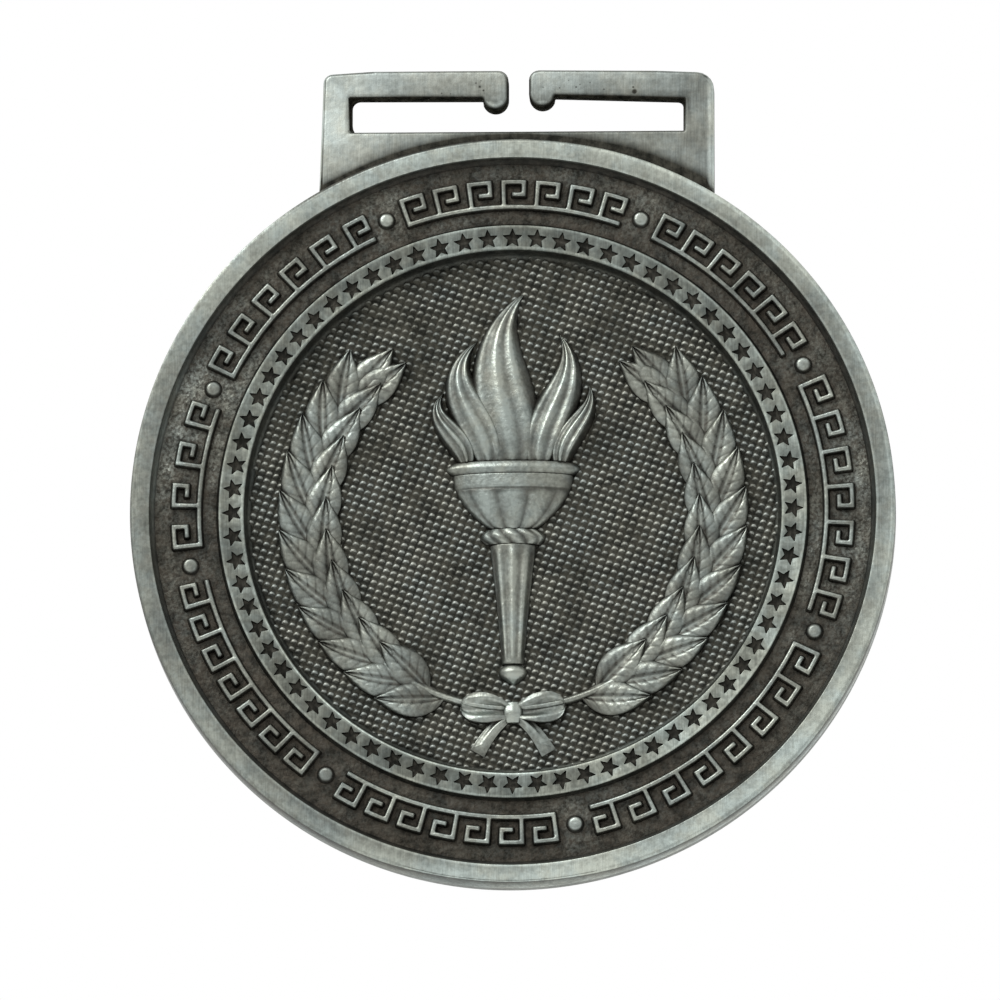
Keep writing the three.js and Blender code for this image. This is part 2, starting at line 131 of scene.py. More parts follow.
def smooth_step(tree, value, low, high, to_low=0.0, to_high=1.0):
    """A shader value that eases from one level to another while the given one rises."""
    node = tree.nodes.new("ShaderNodeMapRange")
    node.interpolation_type = "SMOOTHSTEP"
    tree.links.new(value, node.inputs["Value"])
    for key, number in zip(("From Min", "From Max", "To Min", "To Max"), (low, high, to_low, to_high)):
        node.inputs[key].default_value = number
    return node.outputs["Result"]


def antique_finish(name, bright=silver, dark=soot, gloss=0.34, streak_depth=0.0, grain_depth=0.02,
                   mottle=0.25, speckle=0.1, speckle_scale=1900.0, crevice_soot_and_shade=0.6, shelter=0.7,
                   sky=(0.35, 0.95), tinge=0.03, patches=(), rings=(), net=None, edge_tint=1.0):
    """Plated zinc that was blackened and rubbed back. How much silver shows follows how worn each point is,
    a level that on some pieces also holds painted sheen and highlights, the way the surface faces, and
    the crevices, whose darkening is partly blackening and partly painted contact shade; noise makes it
    uneven and tinged. streak_depth is that of the upright brushing. shelter is how wide the crevices may
    be, and sky how open they are where they are black and where they are clear. patches are
    (x, y, radius, gain) spots and rings (radius, width, gain) circles whose gain makes them lighter or
    darker; on the loop the rings next to the disc are a painted shadow of the rim. net is the pitch, the
    slant and the shift to the right and up of a net of small bumps whose upper halves get a painted
    highlight and whose lower halves get painted shade. edge_tint is what is left of the reflection on
    surfaces seen edge on."""
    material = bpy.data.materials.new(name)
    material.use_nodes = True
    nodes, links = material.node_tree.nodes, material.node_tree.links
    shader = nodes["Principled BSDF"]
    shader.inputs["Metallic"].default_value = 1.0
    shader.inputs["Specular Tint"].default_value = (edge_tint, edge_tint, edge_tint, 1)

    def add(kind, **values):
        node = nodes.new(kind)
        for key, value in values.items():
            setattr(node, key, value)
        return node

    def join(value, socket):
        if isinstance(value, (int, float, tuple)):
            socket.default_value = value
        else:
            links.new(value, socket)

    def worked(operation, first, second=0.0, clamp=False):
        node = add("ShaderNodeMath", operation=operation, use_clamp=clamp)
        join(first, node.inputs[0])
        join(second, node.inputs[1])
        return node.outputs[0]

    def times(first, second):
        return worked("MULTIPLY", first, second)

    def plus(first, second):
        return worked("ADD", first, second)

    def minus(first, second):
        return worked("SUBTRACT", first, second)

    def vector(operation, first, second=(0, 0, 0)):
        node = add("ShaderNodeVectorMath", operation=operation)
        join(first, node.inputs[0])
        join(second, node.inputs[1])
        return node.outputs

    def mixed(factor, first, second, **values):
        node = add("ShaderNodeMix", data_type="RGBA", **values)
        for key, value in (("Factor", factor), ("A", first), ("B", second)):
            join(value, node.inputs[key])
        return node.outputs["Result"]

    def ramp(*levels):
        return smooth_step(material.node_tree, *levels)

    def noise(scale, detail=4.0, stretch=(1, 1, 1), roughness=0.55):
        node = add("ShaderNodeTexNoise")
        for key, value in (("Scale", scale), ("Detail", detail), ("Roughness", roughness)):
            node.inputs[key].default_value = value
        mapping = add("ShaderNodeMapping")
        mapping.inputs["Scale"].default_value = stretch
        links.new(place.outputs["Object"], mapping.inputs["Vector"])
        links.new(mapping.outputs["Vector"], node.inputs["Vector"])
        return node.outputs["Fac"]

    place = add("ShaderNodeTexCoord")
    wear_and_sheen = add("ShaderNodeAttribute", attribute_name="wear_and_sheen").outputs["Fac"]
    split = add("ShaderNodeSeparateXYZ")
    links.new(place.outputs["Normal"], split.inputs[0])
    facing = worked("ABSOLUTE", split.outputs["Y"])
    # The ambient occlusion darkens crevices and the feet of walls: partly the blackening that the medal keeps
    # in its hollows, partly painted contact shade.
    open_air = add("ShaderNodeAmbientOcclusion", samples=4)
    open_air.inputs["Distance"].default_value = shelter * MM
    flattened = add("ShaderNodeMapping")
    links.new(place.outputs["Object"], flattened.inputs["Vector"])
    flattened.inputs["Location"].default_value = (0, 0, -centre_z / MM)
    flattened.inputs["Scale"].default_value = (1 / MM, 0, 1 / MM)
    flat_place = flattened.outputs["Vector"]
    for x, y, radius, gain in patches:
        gap = vector("DISTANCE", flat_place, (x, 0, y))["Value"]
        wear_and_sheen = plus(wear_and_sheen, ramp(gap, 0.0, radius, gain, 0.0))
    for radius, width, gain in rings:
        gap = worked("ABSOLUTE", minus(vector("LENGTH", flat_place)["Value"], radius))
        wear_and_sheen = plus(wear_and_sheen, ramp(gap, 0.0, width, gain, 0.0))
    # The net paints light on the bumps: a painted highlight on the upper half of each and painted shade on
    # its lower half and between the rows.
    if net:
        pitch, slant, shift_right, shift_up = net
        run, fall = math.cos(math.radians(slant)), math.sin(math.radians(slant))
        shifted = vector("SUBTRACT", flat_place, (shift_right, 0, shift_up))["Vector"]
        shares = []
        for way in ((run, 0, fall), (-fall, 0, run)):
            cell = worked("DIVIDE", vector("DOT_PRODUCT", shifted, way)["Value"], pitch)
            shares.append(minus(cell, worked("ROUND", cell)))
        right = minus(times(shares[0], pitch * run), times(shares[1], pitch * fall))
        up = plus(times(shares[0], pitch * fall), times(shares[1], pitch * run))
        ragged = times(minus(noise(5000.0, 3.0, roughness=0.7), 0.5), 0.16)
        bow = times(right, right)
        top = plus(up, plus(ragged, times(bow, 1.7)))
        foot = plus(up, minus(times(bow, 1.2), ragged))
        painted_lit_half = times(ramp(top, 0.09, 0.15, 1.0, 0.0), ramp(foot, -0.09, -0.01))
        painted_lit_half = times(painted_lit_half, ramp(bow, 0.045, 0.085, 1.0, 0.0))
        wear_and_sheen = times(wear_and_sheen, ramp(painted_lit_half, 0.0, 1.0, 0.18, 1.0))
    cleared = times(wear_and_sheen, ramp(facing, 0.1, 0.85, 0.25, 1.0))
    uneven = times(cleared, ramp(noise(330.0), 0.3, 0.7, 1.0 - mottle, 1.0 + mottle))
    shaded = times(uneven, ramp(open_air.outputs["AO"], *sky, 1.0 - crevice_soot_and_shade, 1.0))
    fine = ramp(noise(speckle_scale), 0.3, 0.7, 1.0 - speckle, 1.0 + speckle)
    polish_and_painted_light = worked("MULTIPLY", shaded, fine, clamp=True)
    # The dark colour is the blackening; where the masks above darken a place for painted shade, it stands for
    # shade too.
    blackening_and_shade = mixed(ramp(noise(1100.0, 5.0, roughness=0.7), 0.34, 0.66),
                  (dark[0] * 0.5, dark[1] * 0.5, dark[2] * 0.5, 1),
                  (dark[0] * 1.75, dark[1] * 1.65, dark[2] * 1.6, 1))
    metal = mixed(ramp(noise(260.0, roughness=0.7), 0.36, 0.64),
                  (bright[0] * (1 + tinge), bright[1], bright[2] * (1 - tinge * 1.5), 1),
                  (bright[0] * (1 - tinge * 1.2), bright[1], bright[2] * (1 + tinge * 0.8), 1))
    # The mix of rubbed silver and blackening also carries the painted sheen, highlights and shade from the
    # masks above.
    tint = mixed(polish_and_painted_light, blackening_and_shade, metal)
    rough = ramp(polish_and_painted_light, 0.0, 1.0, gloss + 0.2, gloss)
    height = times(noise(2200.0), grain_depth)
    if streak_depth:
        lines = noise(1.0, stretch=brush_scale, roughness=0.65)
        height = plus(height, times(lines, streak_depth))
        grey = add("ShaderNodeCombineColor")
        level = ramp(lines, 0.3, 0.7, 0.86, 1.12)
        for socket in grey.inputs:
            links.new(level, socket)
        tint = mixed(1.0, tint, grey.outputs[0], blend_type="MULTIPLY")
        rough = plus(rough, ramp(lines, 0.3, 0.7, 0.06, -0.06))
    links.new(tint, shader.inputs["Base Color"])
    links.new(rough, shader.inputs["Roughness"])
    bump = add("ShaderNodeBump")
    bump.inputs["Strength"].default_value = 1.0
    bump.inputs["Distance"].default_value = MM
    links.new(height, bump.inputs["Height"])
    links.new(bump.outputs["Normal"], shader.inputs["Normal"])
    return material


recess_depth = 0.25
recess_foot = 0.12
recess_brim = 0.15
border_width = 2.0
back_edge = 0.45
reverse_finish = antique_finish("cast_reverse", bright=(0.41, 0.44, 0.405), gloss=0.38, grain_depth=0.04,
                                mottle=0.1, speckle=0.16, speckle_scale=2600.0, tinge=0.012)
recess_radius = disc_radius - border_width
edge_centre = (disc_radius - back_edge, back_edge)
reverse_profile = [[axis_gap, recess_depth, 0.62], [recess_radius * 0.5, recess_depth, 0.64],
                   [recess_radius - 0.3, recess_depth, 0.45]]
reverse_profile += arc((recess_radius - recess_foot, recess_depth - recess_foot), recess_foot, 90, 0, 0.2, 3)
reverse_profile += arc((recess_radius + recess_brim, recess_brim), recess_brim, 180, 270, 0.9, 4)
reverse_profile += [[recess_radius + 0.4, 0, 0.8], [disc_radius - back_edge - 0.3, 0, 0.8]]
reverse_profile += arc(edge_centre, back_edge, 270, 315, 0.85, 4)
reverse_profile += arc(edge_centre, back_edge, 326, 360, 2.2, 3)
reverse_profile += [[disc_radius, seat - 0.02, 1.8], [disc_radius, seat, 1.8], [axis_gap, seat, 0.3]]
add_piece("medal_body", *turned(reverse_profile, from_behind=True), reverse_finish,
          "reverse_silver", ["disc_blank"])


# Outer rim: the raised flat border of the face, cast with the body and drafted on its inside.
# Its flat takes most of the polishing, in upright strokes, and stays grey on the inner slope.
rim_top = face_box("outer_rim")[1][2]
rim_inner, _, band_floor = face_box("legend_band")[1]
rim_draft = 0.3
rim_edge = 0.3
rim_foot = rim_inner - rim_draft - 0.12
edge_start = disc_radius - rim_edge - 0.01
edge_end = disc_radius - 0.01
beyond = 99
rim_finish = antique_finish("brushed_rim", bright=(0.545, 0.60, 0.55), streak_depth=0.009, gloss=0.33,
                            mottle=0.18, speckle=0.2, speckle_scale=2800.0)
rim_points, rim_faces, rim_wear_and_sheen = turned(
    [[rim_foot, band_floor - 0.05, 0.1], [rim_foot, band_floor, 0.1],
     [rim_inner - rim_draft, band_floor + 0.04, 0.12], [rim_inner - 0.1, rim_top - 0.24, 0.3]]
    + arc((rim_inner + 0.08, rim_top - 0.1), 0.1, 170, 90, 1.1, 4)
    + [[rim_inner + 0.25, rim_top, 0.74], [disc_radius - rim_edge - 0.12, rim_top, 1.04]]
    + arc((disc_radius - rim_edge, rim_top - rim_edge), rim_edge, 90, 0, 0.62, 6)
    + [[disc_radius, seat + 0.02, 3.2], [disc_radius, seat, 3.2],
       [rim_foot, seat, 0.1], [rim_foot, band_floor - 0.05, 0.1]]
)


def rubbed(points, rest, lobes, radii=(0, beyond)):
    """A level for points round the disc from (clockwise angle, width, gain) lobes. For the finish it
    stands for how far the wheel cleared the silver, and on the rim, the floor and the star ring also
    for painted sheen and highlights that change with the angle. Points outside the two radii keep theirs."""
    angle = np.degrees(np.arctan2(points[:, 0], points[:, 1]))
    reach = np.hypot(points[:, 0], points[:, 1])
    level = np.full(len(points), float(rest))
    for middle, width, gain in lobes:
        off = (angle - middle + 180) % 360 - 180
        level += gain * np.exp(-((off / width) ** 4))
    return np.where((reach > radii[0]) & (reach < radii[1]), level, 1.0)


def with_wear_and_sheen(points, wear_and_sheen, *strokes):
    """The worn level after sets of lobes, each with its rest level, its lobes and perhaps its radii:
    rubbing by the wheel, and on the rim, the floor and the star ring painted sheen too.
    """
    for stroke in strokes:
        wear_and_sheen = wear_and_sheen * rubbed(points, *stroke)
    return wear_and_sheen


# Lobes round the disc: the flat's brightness is painted sheen, brightest at the lower right and the top and
# dim at the sides; on the inner slope and lip and on the rounded outer edge, the lobes are painted highlights
# and painted shade.
rim_wear_and_sheen = with_wear_and_sheen(
    rim_points, rim_wear_and_sheen,
    (0.40, ((145, 46, 0.55), (352, 50, 0.33), (262, 24, -0.06), (12, 15, -0.05))),
    (1, ((280, 14, 6), (262, 42, 1.9), (88, 20, 1.3), (0, 50, -0.5)), (0, rim_inner - 0.05)),
    (1, ((135, 36, -0.6),), (rim_inner - 0.05, rim_inner + 0.2)),
    (1, ((30, 40, 0.1), (208, 30, 0.2)), (rim_inner + 0.3, disc_radius - rim_edge)),
    (1, ((62, 50, 2.0), (222, 50, 0.8), (0, 30, 0.1), (165, 42, 0.35), (300, 26, 0.5)),
     (edge_start, edge_end)),
    (1, ((339, 17, -0.85),), (disc_radius - rim_edge + 0.1, edge_end)),
)
sharper = rubbed(rim_points, 1, ((304, 30, -0.85), (170, 50, -0.6), (23, 13, -0.5)), (edge_start, beyond))
at_edge = rim_points[:, 2] > rim_top - rim_edge - 0.01
rim_points[at_edge, 2] = rim_top - (rim_top - rim_points[at_edge, 2]) * sharper[at_edge]
drafted = rubbed(rim_points, 0, ((182, 15, -0.004), (180, 60, -0.001)), (disc_radius - 0.2, beyond))
drafted = np.where(drafted < 0, drafted * np.clip((rim_points[:, 2] - seat) / (rim_top - seat), 0, 1), 0)
rim_points[:, :2] *= 1 + drafted[:, None]
add_piece("rim", rim_points, rim_faces, rim_wear_and_sheen, rim_finish, "brushed_silver", ["outer_rim"])


# Floor of the band between the rim and the star ring. It is sunk, so the wheel hardly touches it
# and it keeps the blackening, cloudy and a little warm. Paler patches at its left and right are
# painted sheen, and weaker lobes make it lighter at the top and darker at the bottom.
ring_outer, _, ring_top = face_box("star_ring")[1]
floor_finish = antique_finish("blackened_floor", bright=(0.292, 0.309, 0.275), dark=(0.0388, 0.0356, 0.029),
                              gloss=0.42, grain_depth=0.16, mottle=0.45, speckle=0.75, speckle_scale=4200.0,
                              crevice_soot_and_shade=0.9, shelter=1.4, sky=(0.5, 1.0), rings=((ring_outer, 1.8, -0.045),))
floor_rows = 24
floor_middle = 25.2
floor_radii = np.linspace(ring_outer - 0.1, rim_inner - 0.05, floor_rows)
floor_points, floor_faces, floor_wear_and_sheen = turned(
    [[floor_radii[0], seat, 0.1]] + [[radius, band_floor, 0.22] for radius in floor_radii]
    + [[floor_radii[-1], seat, 0.1], [floor_radii[0], seat, 0.1]]
)
# Lobes round the disc: the paler patches at the right and the left are painted sheen; the others make the
# floor lighter at the top and darker at the bottom of its outer half.
floor_wear_and_sheen = with_wear_and_sheen(
    floor_points, floor_wear_and_sheen,
    (0.62, ((90, 18, 0.9), (289, 16, 1.0), (165, 8, 0.3), (262, 12, 0.25), (0, 55, 0.35))),
    (1, ((22, 28, -0.3), (112, 16, 0.45), (285, 14, 0.35)), (0, floor_middle)),
    (1, ((90, 18, 0.35), (180, 58, -0.3), (287, 16, 0.35)), (floor_middle, beyond)),
)
add_piece("legend_floor", floor_points, floor_faces, floor_wear_and_sheen, floor_finish, "dark_patina", ["legend_band"])


# Star ring: a raised flat ring whose 72 five-point stars are sunk with flat floors that stay black.
# Its flat takes the wheel's polishing and has painted sheen round the disc, brightest at the lower
# right. Its thin inner lip is rubbed to the brightest line of the face, with a painted highlight on
# it and on its bevel at the lower left, and below the lip a smooth bevel runs down to the field.
field_radius, _, field_floor = face_box("field_plate")[1]
ring_bevel = 0.3
ring_foot = field_radius - 0.3
ring_inner = field_radius + ring_bevel
flat_inner = ring_inner + 0.15
flat_outer = ring_outer - 0.12
star_count = 72
star_points = 5
star_reach = 0.85
star_notch = 0.43
star_inset = 0.2
star_sink = 0.2
tip_round, notch_round = 0.035, 0.03
star_circle = ring_inner + star_inset + star_reach * math.cos(math.pi / star_points)


def round_corners(corners, radii, steps=3):
    """The outline with an arc of its own radius in place of each corner, or none where that is 0."""
    corners = [np.asarray(corner, float) for corner in corners]
    rounded = []
    for i, here in enumerate(corners):
        if not radii[i]:
            rounded.append(here)
            continue
        back = corners[i - 1] - here
        ahead = corners[(i + 1) % len(corners)] - here
        back, ahead = back / np.linalg.norm(back), ahead / np.linalg.norm(ahead)
        half = math.acos(max(-1.0, min(1.0, float(back @ ahead)))) / 2
        middle = (back + ahead) / np.linalg.norm(back + ahead)
        centre = here + middle * radii[i] / math.sin(half)
        first = here + back * radii[i] / math.tan(half) - centre
        last = here + ahead * radii[i] / math.tan(half) - centre
        start = math.atan2(first[1], first[0])
        sweep = (math.atan2(last[1], last[0]) - start + math.pi) % (2 * math.pi) - math.pi
        for k in range(steps + 1):
            turn = start + sweep * k / steps
            rounded.append(centre + radii[i] * np.array([math.cos(turn), math.sin(turn)]))
    return np.array(rounded)


def inset(outline, distance):
    """The anticlockwise outline moved inwards by a distance, or outwards by a negative one."""
    ahead = np.roll(outline, -1, 0) - outline
    ahead = ahead / np.linalg.norm(ahead, axis=1, keepdims=True)
    after = np.column_stack([-ahead[:, 1], ahead[:, 0]])
    before = np.roll(after, 1, 0)
    lean = 1 + (after * before).sum(1, keepdims=True)
    return outline + distance * (after + before) / lean


def filled(*loops):
    """Triangles between a flat outline and any holes in it, facing up."""
    loops = [[Vector((x, y, 0)) for x, y in loop] for loop in loops]
    flat = [corner for loop in loops for corner in loop]
    faces = []
    for a, b, c in tessellate_polygon(loops):
        area = (flat[b] - flat[a]).cross(flat[c] - flat[a]).z
        faces.append([a, b, c] if area > 0 else [a, c, b])
    return faces


def stacked(outline_at, levels, base=False):
    """Walls through (inset, height, wear) levels, whose outlines come from the inset and the height.
    The last level is filled in, and with a base the first one too."""
    outlines = [outline_at(inward, z) for inward, z, worn in levels]
    count = len(outlines[0])
    points = [
        np.column_stack([outline, np.full(count, z)])
        for outline, (inward, z, worn) in zip(outlines, levels)
    ]
    faces = []
    top = (len(outlines) - 1) * count
    for low in range(0, top, count):
        for i in range(count):
            j = (i + 1) % count
            faces.append([low + i, low + j, low + count + j, low + count + i])
    faces +=[[top + i for i in face] for face in filled(outlines[-1])]
    if base:
        faces += [face[::-1] for face in filled(outlines[0])]
    return np.concatenate(points), faces, np.repeat([worn for inward, z, worn in levels], count)


def together(parts):
    """One list of points, faces and wear from several."""
    points, faces, wear_and_sheen, start = [], [], [], 0
    for part_points, part_faces, part_wear in parts:
        points.append(part_points)
        faces.extend([[start + i for i in face] for face in part_faces])
        wear_and_sheen.append(part_wear)
        start += len(part_points)
    return np.concatenate(points), faces, np.concatenate(wear_and_sheen)


star_corners, star_rounds = [], []
for i in range(2 * star_points):
    reach = star_reach * (star_notch if i % 2 else 1)
    turn = math.pi / 2 + i * math.pi / star_points
    star_corners.append((reach * math.cos(turn), reach * math.sin(turn)))
    star_rounds.append(notch_round if i % 2 else tip_round)
star_outline = round_corners(star_corners, star_rounds, 2)
star_levels = [(-0.045, ring_top, 0.9), (-0.02, ring_top - 0.012, 1.5), (0.0, ring_top - 0.05, 0.5),
               (0.03, ring_top - star_sink + 0.02, 0.02), (0.05, ring_top - star_sink, 0.02)]


def pocket_outline(inward, z):
    return inset(star_outline, inward) + [0, star_circle]


sector_steps = turn_steps // star_count
half_sector = math.pi / star_count
sector = []
for radius, way in ((flat_outer, 1), (flat_inner, -1)):
    for k in range(sector_steps + 1):
        turn = way * (half_sector - 2 * half_sector * k / sector_steps)
        sector.append((radius * math.sin(turn), radius * math.cos(turn)))
hole = pocket_outline(star_levels[0][0], ring_top)
flat = np.concatenate([sector, hole])
sector_wear = np.full(len(flat), 0.85)
sector_wear[:sector_steps + 1] = 0.78
sector_part = (np.column_stack([flat, np.full(len(flat), ring_top)]), filled(sector, hole), sector_wear)
star_part, star_faces, star_wear = together([sector_part, stacked(pocket_outline, star_levels)])
ring_parts = []
for i in range(star_count):
    turn = 2 * math.pi * i / star_count
    x, y, z = star_part.T
    spun = np.column_stack([
        x * math.cos(turn) + y * math.sin(turn),
        y * math.cos(turn) - x * math.sin(turn),
        z,
    ])
    ring_parts.append((spun, star_faces, star_wear))
ring_parts.append(turned(
    [[ring_foot, field_floor - 0.1, 0.1], [field_radius - 0.28, field_floor + 0.02, 0.2],
     [field_radius - 0.08, field_floor + 0.1, 0.3], [field_radius + 0.08, field_floor + 0.3, 0.4],
     [ring_inner - 0.08, ring_top - 0.35, 0.6]]
    + arc((ring_inner + 0.07, ring_top - 0.1), 0.1, 165, 90, 1.25, 4)
    + [[ring_inner + 0.1, ring_top, 1.5], [flat_inner, ring_top, 0.95]]
))
ring_parts.append(turned(
    [[flat_outer, ring_top, 1.0]]
    + arc((ring_outer - 0.1, ring_top - 0.07), 0.07, 90, 15, 0.9, 3)
    + [[ring_outer, ring_top - 0.2, 0.3], [ring_outer + 0.12, band_floor + 0.04, 0.06],
       [ring_outer + 0.2, band_floor - 0.03, 0.06], [ring_outer + 0.2, seat, 0.05],
       [ring_foot, seat, 0.05], [ring_foot, field_floor - 0.1, 0.05]]
))
ring_finish = antique_finish("polished_star_ring", bright=(0.78, 0.86, 0.775), dark=(0.026, 0.026, 0.022),
                             gloss=0.36, mottle=0.24, speckle=0.22, speckle_scale=2600.0, streak_depth=0.006,
                             rings=((ring_inner + 0.18, 0.14, 0.12), (ring_outer - 0.13, 0.17, 0.14)))
ring_gain = 0.365
lip_start = ring_inner - 0.06
ring_points, ring_faces, ring_wear_and_sheen = together(ring_parts)
# Lobes round the disc: painted sheen on the flat, brighter at the lower right; a painted highlight on the lip
# and the bevel below it at the lower left, dimmer at the lower right and upper left.
ring_wear_and_sheen = with_wear_and_sheen(
    ring_points, ring_wear_and_sheen * ring_gain,
    (0.56, ((120, 52, 0.42), (283, 20, 0.18), (210, 38, -0.1))),
    (1, ((195, 46, 1.5), (280, 20, 0.4)), (0, lip_start)),
    (1, ((208, 36, 1.9), (122, 20, -0.35), (318, 24, -0.2)), (lip_start, flat_inner - 0.01)),
)
star_ring = add_piece("star_ring_with_stars", ring_points, ring_faces, ring_wear_and_sheen, ring_finish,
                      "brushed_silver", ["star_ring"])
weld = bmesh.new()
weld.from_mesh(star_ring.data)
bmesh.ops.remove_doubles(weld, verts=weld.verts, dist=0.001 * MM)
weld.to_mesh(star_ring.data)
weld.free()


# Central field: a net of small rounded pyramids, coined into the die in rows that fall to the right.
# Their tops are rubbed and the valleys stay black. Besides, their upper halves carry a painted
# highlight and their lower halves painted shade, as if lit from above, and the bumps beside the
# relief are darkened by blackening and painted contact shade in the crevices.
net_pitch = 0.60
net_slant = -20.5
net_right, net_up = 0.1, 0.08
net_height = 0.2
cell_steps = np.array([-0.5, -0.36, -0.16, 0.16, 0.36])
net_cells = int(field_radius / net_pitch) + 2
cell_lines = (np.arange(-net_cells, net_cells + 1)[:, None] + cell_steps).ravel()
across, along = np.meshgrid(cell_lines, cell_lines, indexing="ij")


def net_place(across, along):
    """Where a place counted in cells of the net lies on the face, before the net is shifted."""
    slant = math.radians(net_slant)
    return (net_pitch * (across * math.cos(slant) - along * math.sin(slant)),
            net_pitch * (across * math.sin(slant) + along * math.cos(slant)))


u = np.abs(across - np.round(across))
v = np.abs(along - np.round(along))
tip = np.clip((0.5 - np.maximum(u, v) - 0.02) / 0.3, 0, 1) * np.clip((1.1 - u - v) / 0.6, 0, 1)
net_x, net_y = net_place(across, along)
net_x, net_y = net_x + net_right, net_y + net_up
reach = np.hypot(net_x, net_y)
centre_x, centre_y = net_place(np.round(across), np.round(along))
whole = np.clip((field_radius + 0.15 - np.hypot(centre_x, centre_y)) / 0.25, 0, 1)
patchy = 0.86 + 0.14 * np.sin(centre_x * 0.9 + 1.3 * np.sin(centre_y * 0.7)) * np.sin(centre_y * 1.1 + 0.5)
lift = tip * whole * patchy
inside = reach <= field_radius
shrink = np.where(inside, 1, field_radius / np.maximum(reach, 1e-6))
net_points = np.stack([net_x * shrink, net_y * shrink, field_floor - 0.02 + net_height * lift], axis=2)
index = np.arange(net_x.size).reshape(net_x.shape)
quads = np.stack([index[:-1, :-1], index[1:, :-1], index[1:, 1:], index[:-1, 1:]], axis=2).reshape(-1, 4)
quads = quads[inside.ravel()[quads].any(axis=1)]
used, renumbered = np.unique(quads, return_inverse=True)
field_finish_and_painted_light = antique_finish("pyramid_field", bright=(0.328, 0.346, 0.318), dark=(0.041, 0.042, 0.034),
                              gloss=0.48, grain_depth=0.06, mottle=0.42, speckle=0.3, speckle_scale=3500.0,
                              crevice_soot_and_shade=0.7, shelter=0.8, net=(net_pitch, net_slant, net_right, net_up))
field_points = net_points.reshape(-1, 3)[used]
field_wear = (0.05 + 0.95 * np.minimum(1, 2.2 * lift.ravel()))[used]
field_wear *= rubbed(field_points, 1, ((338, 48, -0.26),), (11, beyond))
add_piece("pyramid_field", field_points, renumbered.reshape(quads.shape), field_wear, field_finish_and_painted_light,
          "dark_patina", ["field_plate"])


# Eight low dots of the band, cast with it, each with a drafted side. The wheel has worn every crown
# flat, a little further down on one side than on the other.
dot_count = 8
dot_base = 0.65
dot_crown = 0.48
dot_steps = 48
dot_lean = 0.06
relief_finish = antique_finish("rubbed_relief", gloss=0.33, grain_depth=0.05, mottle=0.36, speckle=0.22,
                               speckle_scale=3200.0, crevice_soot_and_shade=0.85)


def add_relief(name, relief, node):
    """A piece of the raised ornament from its points, faces and wear."""
    add_piece(name, *relief, relief_finish, "relief_silver", [node])


dot_places = []
for number in range(1, dot_count + 1):
    low, high = face_box(f"band_dot_{number}")
    middle = (low + high) / 2
    dot_places.append(math.atan2(middle[0], middle[1]))
    dot_top = high[2]
    points, faces, wear_and_sheen = turned(
        [[dot_base + 0.1, band_floor - 0.03, 0.02], [dot_base + 0.03, band_floor + 0.03, 0.03],
         [dot_crown + 0.1, dot_top - 0.2, 0.2], [dot_crown + 0.03, dot_top - 0.08, 0.42],
         [dot_crown - 0.06, dot_top - 0.02, 0.78], [dot_crown - 0.13, dot_top, 0.76],
         [dot_crown * 0.4, dot_top, 0.66], [axis_gap, dot_top, 0.66]],
        dot_steps,
    )
    worn_turn = 1.1 * number - 1.4
    worn_way = np.array([math.cos(worn_turn), math.sin(worn_turn)])
    worn = np.clip(0.5 + points[:, :2] @ worn_way / dot_crown / 2, 0, 1)
    points[:, 2] -= np.where(points[:, 2] > dot_top - 0.1, dot_lean * worn, 0)
    add_relief(f"dot_{number}", (points + [middle[0], middle[1], 0], faces, wear_and_sheen), f"band_dot_{number}")


# Eight runs of a running key ornament between the dots: a base line with hooks that curl in
# clockwise. The strokes are cast with drafted sides, black at the foot and rubbed bright on top.
key_base = ring_outer + 1.3
key_height = 2.4
key_width = 1.95
key_stroke = 0.38
key_pitch = 2.6
key_curl_gap = 0.45
key_end_gap = 0.75
inner_round, outer_round, crown_round = 0.07, 0.09, 0.12
key_circle = key_base + key_height / 2
key_margin = dot_base + key_end_gap
key_levels = [(-0.12, band_floor - 0.03, 0.02), (-0.1, band_floor + 0.02, 0.04),
              (-0.02, band_floor + 0.3, 0.22), (0.03, band_floor + 0.42, 0.65),
              (0.08, band_floor + 0.48, 1.0), (0.125, band_floor + 0.5, 0.85)]


def key_corners(length):
    """Corners of a run laid out straight, and the radius of the arc at each of them."""
    hooks = max(1, int((length - key_width) // key_pitch) + 1)
    pitch = (length - key_width) / (hooks - 1) if hooks > 1 else key_pitch
    curl_foot = (key_height - key_stroke) / 2
    curl_top = curl_foot + key_stroke
    curl_end = key_stroke + key_curl_gap
    corners = []
    for i in range(hooks):
        corners += [(i * pitch, 0, 0 if i else outer_round), (i * pitch + key_width, 0, 0)]
    corners[-1] = (corners[-1][0], 0, outer_round)
    for i in reversed(range(hooks)):
        left, right = i * pitch, i * pitch + key_width
        corners += [
            (right, key_stroke, outer_round if i == hooks - 1 else 0),
            (left + key_stroke, key_stroke, inner_round),
            (left + key_stroke, key_height - key_stroke, inner_round),
            (right - key_stroke, key_height - key_stroke, inner_round),
            (right - key_stroke, curl_top, inner_round),
            (left + curl_end, curl_top, outer_round),
            (left + curl_end, curl_foot, outer_round),
            (right, curl_foot, outer_round),
            (right, key_height, crown_round),
            (left, key_height, crown_round),
            (left, key_stroke, inner_round if i else 0),
        ]
    return corners


def split_long(outline, longest):
    """The outline with points added so that no side is longer than this."""
    dense = []
    for here, after in zip(outline, np.roll(outline, -1, 0)):
        pieces = max(1, math.ceil(np.linalg.norm(after - here) / longest))
        dense += [here + (after - here) * k / pieces for k in range(pieces)]
    return np.array(dense)


def bent(outline, start):
    """A flat (along, out) outline wrapped round the disc from this angle."""
    turns = start + outline[:, 0] / key_circle
    out = key_base + outline[:, 1]
    return np.column_stack([out * np.sin(turns), out * np.cos(turns)])


